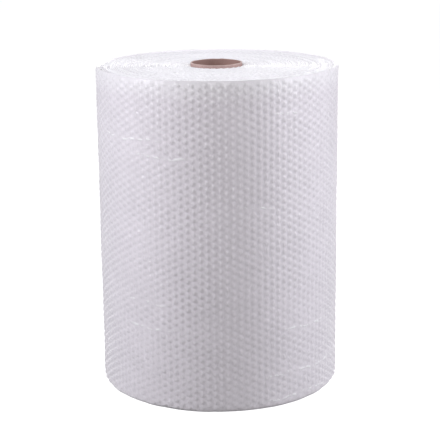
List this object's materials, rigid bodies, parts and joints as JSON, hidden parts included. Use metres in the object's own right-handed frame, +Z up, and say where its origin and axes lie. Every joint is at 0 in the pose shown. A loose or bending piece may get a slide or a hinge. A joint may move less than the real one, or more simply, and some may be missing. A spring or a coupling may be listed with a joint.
{
  "type": "bubble wrap roll",
  "caption": "Roll of clear small-bubble cushioning film wound on a brown cardboard core tube, standing on end, with the core's rim just proud of the film's top side.",
  "frame": {"origin": "centre of the core's bore at the bottom, on the surface that the roll stands on", "axes": "+Z up along the core's axis, towards the end where the core stands proud; the film's loose end lies behind, towards +Y and -X"},
  "size_m": [0.3743, 0.3763, 0.503],
  "materials": {
    "core_board": "matt brown spirally wound board",
    "bubble_film": "clear soft plastic film that reads as milky white in many turns"
  },
  "bodies": {
    "root": {"core_tube": "core_board", "bubble_film": "bubble_film"}
  },
  "joints": []
}
